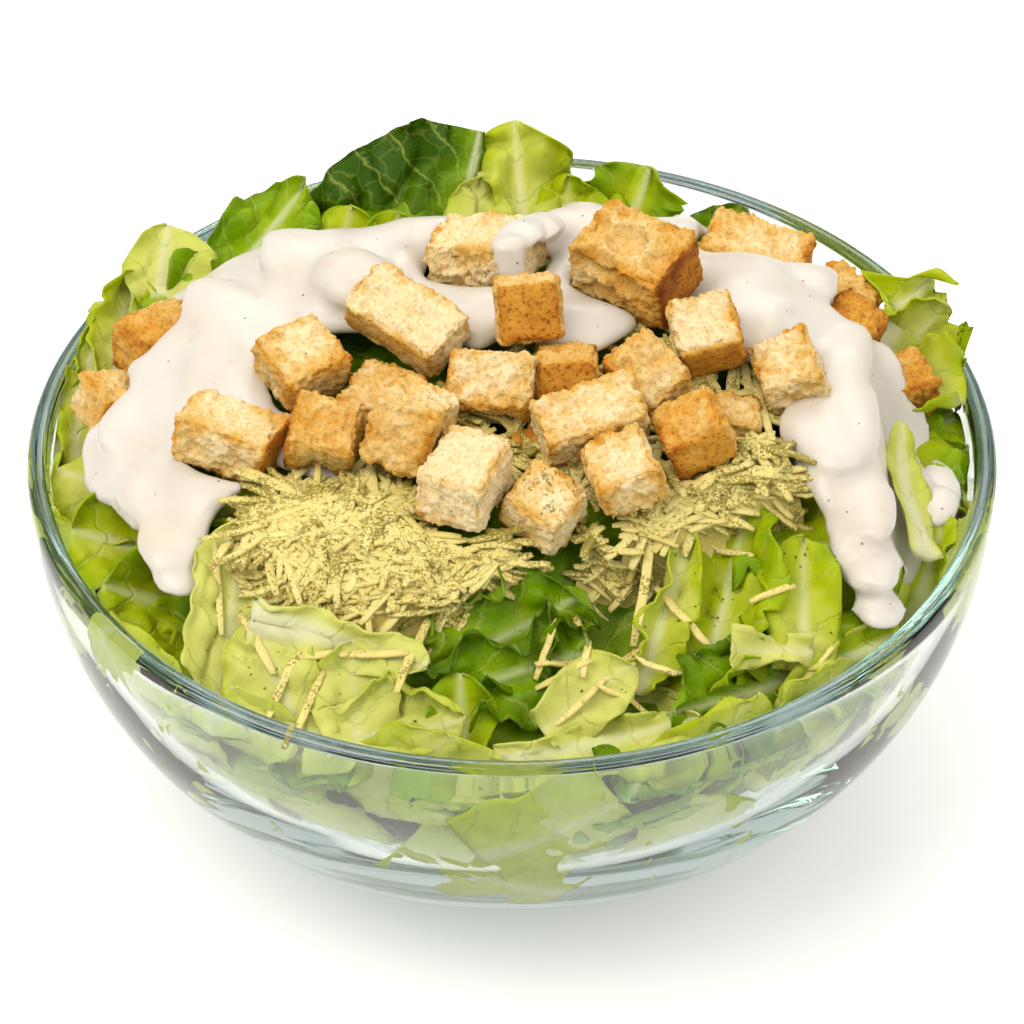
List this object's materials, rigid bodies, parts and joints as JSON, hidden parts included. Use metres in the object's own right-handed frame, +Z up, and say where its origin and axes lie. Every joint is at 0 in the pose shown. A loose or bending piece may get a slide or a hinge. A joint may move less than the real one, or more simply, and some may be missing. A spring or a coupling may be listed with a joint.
{
  "type": "caesar salad",
  "caption": "Caesar salad of cut romaine, croutons, creamy dressing and grated parmesan, heaped in a round clear glass bowl.",
  "frame": {"origin": "centre of the bowl's foot, on the surface it stands on", "axes": "+Z up along the bowl's axis; -Y is the front, where the parmesan lies; +X to the right"},
  "size_m": [0.1798, 0.1798, 0.1083],
  "materials": {
    "glass": "clear, polished",
    "lettuce": "crisp leaf with a soft sheen",
    "dressing": "creamy, satin wet",
    "parmesan": "waxy shreds with herb dust",
    "bread": "toasted, dry and porous"
  },
  "bodies": {
    "root": {"bowl": "glass", "lettuce": "lettuce", "dressing": "dressing", "dressing_drip": "dressing", "parmesan": "parmesan", "crouton_01": "bread", "crouton_02": "bread", "crouton_03": "bread", "crouton_04": "bread", "crouton_05": "bread", "crouton_06": "bread", "crouton_07": "bread", "crouton_08": "bread", "crouton_09": "bread", "crouton_10": "bread", "crouton_11": "bread", "crouton_12": "bread", "crouton_13": "bread", "crouton_14": "bread", "crouton_15": "bread", "crouton_16": "bread", "crouton_17": "bread", "crouton_18": "bread", "crouton_19": "bread", "crouton_20": "bread", "crouton_21": "bread", "crouton_22": "bread", "crouton_23": "bread", "crouton_24": "bread", "crouton_25": "bread", "crouton_26": "bread", "crouton_27": "bread"}
  },
  "joints": []
}
